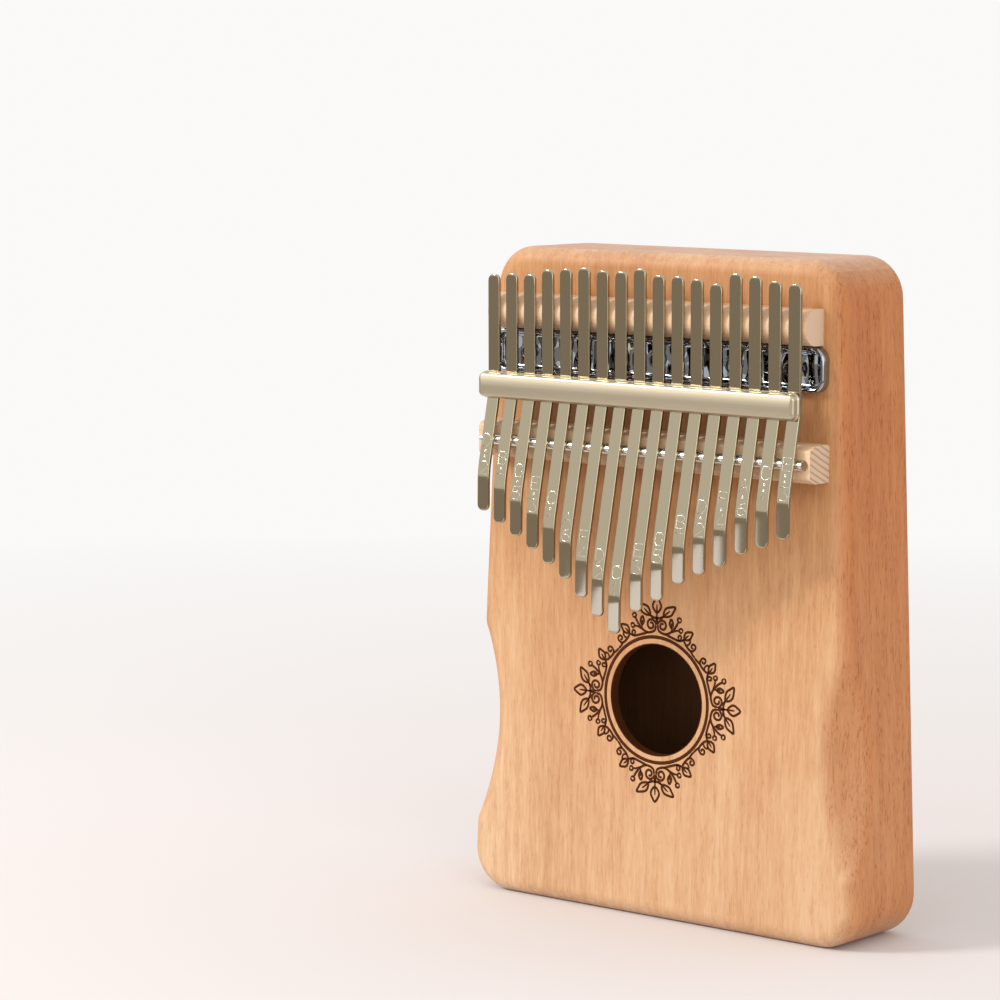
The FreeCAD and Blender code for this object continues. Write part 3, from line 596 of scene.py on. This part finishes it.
def tine_path(tip_z, rear_z):
    """A tine's middle line in the YZ plane, from its rear end to its tip."""
    under = -(ROD_HIGH.y - ROD_LOW.y) / 2 / MM - ROD_GAP
    middle = under - TINE_THICK / 2
    turn = FRONT_SLOPE + REAR_SLOPE
    bend = (PRESS_BEND_Z - ROD_Z + under * math.sin(FRONT_SLOPE)) / math.cos(FRONT_SLOPE)
    rear_run = (rear_z - PRESS_BEND_Z) / math.cos(REAR_SLOPE)
    rear = (under - rear_run * math.sin(turn) - TINE_THICK / 2 * math.cos(turn),
            bend + rear_run * math.cos(turn) - TINE_THICK / 2 * math.sin(turn))
    knee = -(ROD_Z - under * math.sin(FRONT_SLOPE) - TIP_LENGTH - tip_z) / math.cos(FRONT_SLOPE)
    tip = (under + TIP_LENGTH * math.sin(FRONT_SLOPE) - TINE_THICK / 2 * math.cos(FRONT_SLOPE),
           knee - TIP_LENGTH * math.cos(FRONT_SLOPE) - TINE_THICK / 2 * math.sin(FRONT_SLOPE))
    corners = (rear, (middle, bend - TINE_THICK / 2 * math.tan(turn / 2)),
               (middle, knee - TINE_THICK / 2 * math.tan(FRONT_SLOPE / 2)), tip)
    turned = []
    for across, up in corners:
        turned.append((ROD_Y + across * math.cos(FRONT_SLOPE) + up * math.sin(FRONT_SLOPE),
                       ROD_Z - across * math.sin(FRONT_SLOPE) + up * math.cos(FRONT_SLOPE)))
    half = TINE_THICK / 2
    return corner_path(turned, (PRESS_BEND_RADIUS + half, TIP_BEND_RADIUS + half))


def edge_profile(edge, half_thick, steps=3):
    """(inward offset, height) from the top face's border round to the bottom face's."""
    rounding = []
    for number in range(steps + 1):
        angle = math.radians(90) * number / steps
        rounding.append((edge * (1 - math.sin(angle)), half_thick - edge * (1 - math.cos(angle))))
    return rounding + [(inset, -height) for inset, height in reversed(rounding)]


def strip_rows(breaks):
    """Distances along a strip at which it gets a row, its two rounded ends apart."""
    rows = []
    for low, high, step in breaks:
        count = max(1, math.ceil((high - low) / step))
        rows += [low + (high - low) * number / count for number in range(count)]
    rows.append(breaks[-1][1])
    return rows


# Strokes of each stamped sign, in a box one wide and one high.
SIGNS = {
    "A": (((0, 0), (0.5, 1), (1, 0)), ((0.2, 0.38), (0.8, 0.38))),
    "B": (((0, 0.53), (0.7, 0.53), (0.95, 0.66), (0.95, 0.86), (0.7, 1), (0, 1), (0, 0),
           (0.75, 0), (1, 0.16), (1, 0.38), (0.7, 0.53)),),
    "C": (((1, 0.8), (0.75, 1), (0.25, 1), (0, 0.75), (0, 0.25), (0.25, 0), (0.75, 0),
           (1, 0.2)),),
    "D": (((0, 0), (0, 1), (0.6, 1), (1, 0.7), (1, 0.3), (0.6, 0), (0, 0)),),
    "E": (((1, 1), (0, 1), (0, 0), (1, 0)), ((0, 0.52), (0.8, 0.52))),
    "F": (((1, 1), (0, 1), (0, 0)), ((0, 0.52), (0.8, 0.52))),
    "G": (((1, 0.8), (0.75, 1), (0.25, 1), (0, 0.75), (0, 0.25), (0.25, 0), (0.8, 0),
           (1, 0.2), (1, 0.45), (0.6, 0.45)),),
    "1": (((0.25, 0.78), (0.55, 1), (0.55, 0)),),
    "2": (((0, 0.78), (0.25, 1), (0.75, 1), (1, 0.75), (0.9, 0.5), (0, 0), (1, 0)),),
    "3": (((0, 1), (1, 1), (0.45, 0.6), (0.85, 0.5), (1, 0.25), (0.75, 0), (0.2, 0),
           (0, 0.15)),),
    "4": (((0.75, 0), (0.75, 1), (0, 0.3), (1, 0.3)),),
    "5": (((1, 1), (0.1, 1), (0.05, 0.55), (0.7, 0.6), (1, 0.35), (0.75, 0), (0.15, 0),
           (0, 0.15)),),
    "6": (((0.9, 0.95), (0.35, 0.85), (0, 0.4), (0.1, 0.08), (0.5, 0), (0.9, 0.1), (1, 0.35),
           (0.8, 0.55), (0.4, 0.57), (0.05, 0.4)),),
    "7": (((0, 1), (1, 1), (0.35, 0)),),
}
# The note of each tine: its letter, its number and how many octave dots it has.
NOTES = (("D", "2", 2), ("B", "7", 1), ("G", "5", 1), ("E", "3", 1), ("C", "1", 1),
         ("A", "6", 0), ("F", "4", 0), ("D", "2", 0), ("C", "1", 0), ("E", "3", 0),
         ("G", "5", 0), ("B", "7", 0), ("D", "2", 1), ("F", "4", 1), ("A", "6", 1),
         ("C", "1", 2), ("E", "3", 2))
NOTE_FOOT = 10.3
SIGN_WIDTH = 2.6
SIGN_HEIGHT = 3.5
SIGN_GAP = 1.1
DOT_RADIUS = 0.3
DOT_STEP = 1.6
NOTE_HALF = 0.16
NOTE_PROUD = 0.05


def note_strokes(note):
    """A tine's note as lines: across the tine, and up from the foot of the number."""
    letter, digit, dots = note
    strokes = []
    foot = 0.0
    for sign in (digit, letter):
        for line in SIGNS[sign]:
            strokes.append([((across - 0.5) * SIGN_WIDTH, foot + up * SIGN_HEIGHT)
                            for across, up in line])
        foot += SIGN_HEIGHT + SIGN_GAP
        if sign == digit:
            for _ in range(dots):
                foot += DOT_RADIUS
                ring = [(DOT_RADIUS * math.cos(angle), foot + DOT_RADIUS * math.sin(angle))
                        for angle in np.linspace(0, math.tau, 9)]
                strokes.append(ring)
                foot += DOT_STEP - DOT_RADIUS
    return strokes


def stamp_note(points, faces, spans, total, middle_x, note):
    """Add a note's strokes to a tine's mesh, as low ridges on its upper face."""
    section = ((-1, -1), (-1, 0), (0, 1), (1, 0), (1, -1))
    around = len(section)
    for line in note_strokes(note):
        line = [np.array(point, float) for point in line]
        first = len(points)
        last = len(line) - 1
        for number, here in enumerate(line):
            run = line[min(number + 1, last)] - line[max(number - 1, 0)]
            if np.hypot(*run) < 1e-6 or number in (0, last):
                run = line[min(number + 1, last)] - here if number == 0 else here - line[number - 1]
            side = np.array((-run[1], run[0])) / np.hypot(*run)
            for across, out in section:
                flat = here + across * NOTE_HALF * side
                point, heading = along(spans, total - NOTE_FOOT - flat[1])
                height = TINE_THICK / 2 + out * NOTE_PROUD
                points.append((middle_x + flat[0], point[0] + height * math.sin(heading),
                               point[1] - height * math.cos(heading)))
        for face in tube_faces(len(line), around):
            faces.append(tuple(first + index for index in face))
        faces.append(tuple(first + index for index in range(around)))
        end = first + last * around
        faces.append(tuple(end + index for index in reversed(range(around))))


def add_tine(number, tip_z, rear_z):
    """One bent strip of spring steel, with rounded ends and eased edges."""
    spans = tine_path(tip_z, rear_z)
    total = spans[-1][0] + spans[-1][1]
    breaks = []
    for start, length, _, _, curvature in spans:
        low = max(start, TINE_CORNER)
        high = min(start + length, total - TINE_CORNER)
        step = ROW_STEP if curvature == 0 else ARC_STEP / abs(curvature)
        breaks.append((low, high, step))
    profile = edge_profile(TINE_EDGE, TINE_THICK / 2)
    centre = TINE_WIDTH / 2 - TINE_CORNER
    arcs = [math.radians(90) * step / 7 for step in range(8)]
    rings = []
    for angle in reversed(arcs[1:]):
        rings.append([(centre + (TINE_CORNER - inset) * math.cos(angle),
                       TINE_CORNER - (TINE_CORNER - inset) * math.sin(angle), height)
                      for inset, height in profile])
    for distance in strip_rows(breaks):
        rings.append([(TINE_WIDTH / 2 - inset, distance, height) for inset, height in profile])
    for angle in arcs[1:]:
        rings.append([(centre + (TINE_CORNER - inset) * math.cos(angle),
                       total - TINE_CORNER + (TINE_CORNER - inset) * math.sin(angle), height)
                      for inset, height in profile])
    middle_x = (number - (TINE_COUNT - 1) / 2) * TINE_PITCH
    points = []
    for ring in rings:
        sides = [ring, [(-across, distance, height) for across, distance, height in ring[::-1]]]
        for across, distance, height in sides[0] + sides[1]:
            point, heading = along(spans, distance)
            out = (math.sin(heading), -math.cos(heading))
            points.append((middle_x + across, point[0] + height * out[0],
                           point[1] + height * out[1]))
    faces = tube_faces(len(rings), 2 * len(profile))
    count = len(profile)
    for base, flip in ((0, False), ((len(rings) - 1) * 2 * count, True)):
        for step in range(count - 1):
            quad = (base + step, base + step + 1, base + 2 * count - 2 - step,
                    base + 2 * count - 1 - step)
            faces.append(quad[::-1] if flip else quad)
    name = f"tine_{number + 1:02d}"
    plain_faces = len(faces)
    stamp_note(points, faces, spans, total, middle_x, NOTES[number])
    tine = add_mesh(name, points, faces, TINE_STEEL)
    tine.data.materials.append(STAMPED_STEEL)
    for face in tine.data.polygons[plain_faces:]:
        face.material_index = 1
    keep_flats_flat(tine)
    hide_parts(f"{name}_tang", f"{name}_reed")
    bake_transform(tine)
    return tine


def add_tines():
    for number in range(TINE_COUNT):
        name = f"tine_{number + 1:02d}"
        tip_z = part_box(f"{name}_reed")[0].z / MM
        rear_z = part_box(f"{name}_tang")[1].z / MM
        add_tine(number, tip_z, rear_z)


# The burnt wreath round the sound hole.

HOLE_Z = 61.8
HOLE_RADIUS = 15.5
RING_RADIUS = 17.5
WREATH_BASE = 18.0
WREATH_BEND_RADIUS = 22.0
BURN_PROUD = 0.05
WREATH_BOLD = 1.55
MOTIF_COUNT = 4
RING_HALF = 0.5
RING_SHOULDER = 0.35


def smooth_line(points, steps=6):
    """A Catmull-Rom line through points."""
    points = [np.array(point, float) for point in points]
    padded = [2 * points[0] - points[1]] + points + [2 * points[-1] - points[-2]]
    line = []
    for number in range(1, len(padded) - 2):
        before, here, after, beyond = padded[number - 1:number + 3]
        for step in range(steps):
            t = step / steps
            line.append(0.5 * (2 * here + (after - before) * t
                               + (2 * before - 5 * here + 4 * after - beyond) * t ** 2
                               + (3 * here - before - 3 * after + beyond) * t ** 3))
    line.append(points[-1])
    return line


def scroll(centre, radius, start, turns, shrink=0.72, steps=22):
    """A spiral that winds in to a small eye."""
    line = []
    for step in range(steps + 1):
        share = step / steps
        angle = math.radians(start) + turns * math.tau * share
        reach = radius * (1 - shrink * share)
        line.append((centre[0] + reach * math.cos(angle), centre[1] + reach * math.sin(angle)))
    return line


def leaf(base, tip, half_width):
    """The outline of a pointed leaf, and its midrib."""
    base = np.array(base, float)
    tip = np.array(tip, float)
    length = tip - base
    side = np.array((-length[1], length[0])) / np.hypot(*length) * half_width
    right = smooth_line((base, base + 0.22 * length + 0.72 * side, base + 0.48 * length + side,
                         base + 0.78 * length + 0.5 * side, tip))
    left = smooth_line((base, base + 0.22 * length - 0.72 * side, base + 0.48 * length - side,
                        base + 0.78 * length - 0.5 * side, tip))
    rib = smooth_line((base - 0.25 * length, base, base + 0.55 * length))
    return [(right, 0.23), (left, 0.23), (rib, 0.18)]


def berry(centre, radius):
    ring = [(centre[0] + radius * math.cos(angle), centre[1] + radius * math.sin(angle))
            for angle in np.linspace(0, math.tau, 13)]
    return [(ring, 0.21)]


def wreath_half():
    """Strokes of half a motif: distance along the ring, height above it, and half width."""
    strokes = []
    strokes += leaf((2.1, 5.5), (5.3, 9.2), 1.15)
    strokes.append((smooth_line(((0.0, 4.9), (1.0, 4.9), (2.1, 5.5))), 0.24))
    strokes.append((smooth_line(((0.0, 5.4), (0.15, 4.0), (0.3, 3.0))), 0.24))
    strokes.append((scroll((2.05, 2.9), 1.7, 180, -1.35), 0.24))
    strokes.append((smooth_line(((0.3, 3.0), (0.9, 1.3), (3.4, 0.8), (5.4, 1.9), (6.6, 3.9),
                                 (7.0, 5.6))), 0.24))
    strokes += leaf((5.3, 3.1), (4.6, 5.6), 0.6)
    strokes.append((smooth_line(((5.6, 1.9), (6.9, 2.9), (8.0, 3.4))), 0.2))
    strokes += berry((8.6, 3.7), 0.6)
    strokes += berry((7.15, 6.2), 0.6)
    strokes.append((smooth_line(((3.4, 0.8), (6.2, 0.6), (9.0, 0.8), (10.6, 1.8))), 0.24))
    strokes.append((scroll((8.9, 1.75), 0.95, 250, 1.1), 0.21))
    strokes += leaf((10.6, 2.1), (12.2, 5.5), 1.1)
    strokes.append((smooth_line(((10.6, 1.8), (12.4, 1.0), (14.4, 0.8), (15.6, 1.5))), 0.24))
    strokes.append((scroll((14.5, 2.25), 1.1, 300, 1.1), 0.22))
    strokes.append((smooth_line(((14.4, 0.8), (16.0, 0.5), (17.28, 0.45))), 0.22))
    strokes.append((smooth_line(((12.2, 1.1), (12.9, 1.9), (12.8, 2.9), (12.0, 3.1))), 0.2))
    return strokes


def wreath_strokes():
    """The whole wreath in the plane of the soundboard: four motifs, each mirrored."""
    centre_leaf = leaf((0.0, 6.1), (0.0, 10.7), 1.2)
    strokes = []
    for motif in range(MOTIF_COUNT):
        for mirror in (1, -1):
            for line, width in wreath_half():
                strokes.append((line, width, motif, mirror))
        for line, width in centre_leaf:
            strokes.append((line, width, motif, 1))
    placed = []
    for line, width, motif, mirror in strokes:
        wrapped = []
        for across, up in line:
            angle = math.radians(90 * motif) + mirror * across / WREATH_BEND_RADIUS
            radius = WREATH_BASE + up
            wrapped.append((radius * math.sin(angle), radius * math.cos(angle)))
        placed.append((wrapped, width))
    return placed


def stroke_solid(points, faces, line, width):
    """Add one burnt stroke: a flat closed tube half sunk in the board."""
    line = [np.array(point, float) for point in line]
    section = ((-1, 0), (-0.6, 1), (0.6, 1), (1, 0), (0.6, -1), (-0.6, -1))
    first = len(points)
    last = len(line) - 1
    for number, point in enumerate(line):
        run = line[min(number + 1, last)] - line[max(number - 1, 0)]
        run = run / np.hypot(*run)
        side = np.array((-run[1], run[0]))
        share = min(number, last - number) / 2
        half = width * WREATH_BOLD * (0.55 + 0.45 * min(1.0, share))
        for across, out in section:
            flat = point + across * half * side
            points.append((flat[0], FRONT_Y - out * BURN_PROUD, HOLE_Z + flat[1]))
    around = len(section)
    for face in tube_faces(len(line), around):
        faces.append(tuple(first + index for index in face))
    faces.append(tuple(first + index for index in range(around)))
    end = first + last * around
    faces.append(tuple(end + index for index in reversed(range(around))))


def ring_solid(points, faces, section, steps=96):
    """Add a closed ring round the sound hole from its section, as (radius, depth) points."""
    first = len(points)
    count = len(section)
    for step in range(steps):
        angle = math.tau * step / steps
        for radius, depth in section:
            points.append((radius * math.sin(angle), depth, HOLE_Z + radius * math.cos(angle)))
    for step in range(steps):
        low = first + step * count
        high = first + (step + 1) % steps * count
        for index in range(count):
            following = (index + 1) % count
            faces.append((low + index, high + index, high + following, low + following))


def add_wreath():
    points = []
    faces = []
    for line, width in wreath_strokes():
        stroke_solid(points, faces, line, width)
    ring_solid(points, faces, (
        (RING_RADIUS - RING_HALF, FRONT_Y), (RING_RADIUS - RING_SHOULDER, FRONT_Y - BURN_PROUD),
        (RING_RADIUS + RING_SHOULDER, FRONT_Y - BURN_PROUD), (RING_RADIUS + RING_HALF, FRONT_Y),
        (RING_RADIUS, FRONT_Y + BURN_PROUD)))
    wreath = add_mesh("burnt_wreath", points, faces, BURNT_WOOD)
    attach(wreath, "root")
    points = []
    faces = []
    ring_solid(points, faces, (
        (HOLE_RADIUS - 0.04, FRONT_Y - 0.03), (HOLE_RADIUS + 0.22, FRONT_Y - 0.03),
        (HOLE_RADIUS + 0.04, FRONT_Y + 0.2), (HOLE_RADIUS + 0.04, BOARD_BACK_Y - 0.05),
        (HOLE_RADIUS - 0.04, BOARD_BACK_Y - 0.05)))
    edge = add_mesh("burnt_hole_edge", points, faces, BURNT_WOOD, smooth=False)
    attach(edge, "root")


# The studio.

VIEW_AZIMUTH = math.radians(39.16)
VIEW_ELEVATION = math.radians(6.66)
VIEW_ROLL = math.radians(0.37)
VIEW_DISTANCE = 1.02857
VIEW_AIM = Vector((-0.03537, -0.04167, 0.11668))
VIEW_LENS = 134.85
SENSOR = 36.0
WALL_PAPER = (0.955, 0.948, 0.94, 1)
FLOOR_PAPER = (0.70, 0.655, 0.64, 1)
FLOOR_NEAR = 0.16
FLOOR_FAR = 0.85
FLOOR_RADIUS = 12.0
# Radii of the ring that only the metal mirrors.
DUSK_START = 0.45
DUSK_END = 3.9
DUSK_GLOW = (0.40, 0.355, 0.315, 1)
DUSK_HEIGHT = 0.002
CARD_HEIGHT = 0.004
CARD_GLOW = (1.42, 1.44, 1.7, 1)
KEY_PLACE = (-0.95, -1.15, 0.95)
KEY_SIZE = 0.5
KEY_POWER = 18.6
KEY_COLOR = (1.0, 0.985, 0.965)
FILL_PLACE = (1.05, -0.75, 0.40)
FILL_SIZE = 0.9
FILL_POWER = 4.2
FILL_COLOR = (1.0, 0.975, 0.95)
# Corners of the pale card at the player's left, which the longest reeds' tips mirror.
CARD = ((-0.333, -0.400), (-0.541, -0.836), (-0.226, -0.400))


def add_camera():
    camera = bpy.data.objects.new("camera", bpy.data.cameras.new("camera"))
    camera.data.lens = VIEW_LENS
    camera.data.sensor_width = SENSOR
    camera.data.clip_start = 0.05
    camera.data.clip_end = 50
    tilt = Matrix.Rotation(VIEW_AZIMUTH, 3, "Z") @ Matrix.Rotation(
        math.radians(90) - VIEW_ELEVATION, 3, "X") @ Matrix.Rotation(VIEW_ROLL, 3, "Z")
    camera.rotation_euler = tilt.to_euler()
    camera.location = VIEW_AIM + tilt @ Vector((0, 0, VIEW_DISTANCE))
    SCENE.collection.objects.link(camera)
    SCENE.camera = camera


def add_disc(name, outer, height, material, inner=0.0, steps=128):
    """A level disc or ring of the studio."""
    points = []
    faces = []
    radii = (inner, outer) if inner else (outer,)
    for radius in radii:
        for step in range(steps):
            angle = math.tau * step / steps
            points.append((radius * math.cos(angle) / MM, radius * math.sin(angle) / MM,
                           height / MM))
    if inner:
        for step in range(steps):
            following = (step + 1) % steps
            faces.append((step, steps + step, steps + following, following))
    else:
        faces.append(tuple(range(steps)))
    mesh = bpy.data.meshes.new(name)
    mesh.from_pydata([Vector(point) * MM for point in points], [], faces)
    mesh.materials.append(material)
    disc = bpy.data.objects.new(name, mesh)
    SCENE.collection.objects.link(disc)
    return disc


def add_pale_card():
    """A pale card on the floor that only the metal mirrors."""
    mesh = bpy.data.meshes.new("pale_card")
    mesh.from_pydata([(across, depth, CARD_HEIGHT) for across, depth in CARD], [], [(0, 1, 2)])
    mesh.materials.append(add_glow_card("pale_card", CARD_GLOW))
    card = bpy.data.objects.new("pale_card", mesh)
    SCENE.collection.objects.link(card)
    only_mirrored(card)


def add_glow_card(name, color):
    """An emitting material for what the metal mirrors."""
    material = bpy.data.materials.new(name)
    material.use_nodes = True
    tree = material.node_tree
    tree.nodes.clear()
    glow = tree.nodes.new("ShaderNodeEmission")
    glow.inputs["Color"].default_value = color
    glow.inputs["Strength"].default_value = 1.0
    out = tree.nodes.new("ShaderNodeOutputMaterial")
    tree.links.new(glow.outputs[0], out.inputs["Surface"])
    return material


def only_mirrored(thing):
    """Show a studio card in reflections alone."""
    thing.visible_camera = False
    thing.visible_diffuse = False
    thing.visible_shadow = False
    thing.visible_transmission = False
    thing.visible_volume_scatter = False


def add_light(name, location, aim, size, power, color):
    """A round area light aimed at a point."""
    data = bpy.data.lights.new(name, "AREA")
    data.shape = "DISK"
    data.size = size
    data.energy = power
    data.color = color
    light = bpy.data.objects.new(name, data)
    light.location = location
    light.rotation_euler = (Vector(aim) - Vector(location)).to_track_quat("-Z", "Y").to_euler()
    SCENE.collection.objects.link(light)
    light.visible_camera = False
    return light


def add_world():
    world = bpy.data.worlds.new("studio")
    SCENE.world = world
    world.use_nodes = True
    background = world.node_tree.nodes["Background"]
    background.inputs["Color"].default_value = WALL_PAPER
    background.inputs["Strength"].default_value = 1.0


def add_studio():
    floor = Surface("floor", FLOOR_PAPER, 1.0, specular=0.0)
    reach = floor.node("ShaderNodeVectorMath", operation="LENGTH")
    floor.feed(reach.inputs[0], floor.place)
    far = floor.mask(reach.outputs["Value"], FLOOR_NEAR, FLOOR_FAR)
    floor.feed(floor.shader.inputs["Base Color"], floor.mix(far, FLOOR_PAPER, (0, 0, 0, 1)))
    floor.feed(floor.shader.inputs["Emission Color"], floor.mix(far, (0, 0, 0, 1), WALL_PAPER))
    floor.shader.inputs["Emission Strength"].default_value = 1.0
    add_disc("floor", FLOOR_RADIUS, 0.0, floor.material)
    dusk = add_disc("dark_surround", DUSK_END, DUSK_HEIGHT,
                    add_glow_card("dark_surround", DUSK_GLOW), inner=DUSK_START)
    only_mirrored(dusk)
    add_pale_card()
    middle = (cad_low + cad_high) / 2
    add_light("key", KEY_PLACE, middle, KEY_SIZE, KEY_POWER, KEY_COLOR)
    add_light("fill", FILL_PLACE, middle, FILL_SIZE, FILL_POWER, FILL_COLOR)
    add_world()
    SCENE.view_settings.view_transform = "Standard"


add_camera()
dress_cad_nodes()
add_tray()
add_pressure_bar()
add_tines()
add_wreath()
add_studio()
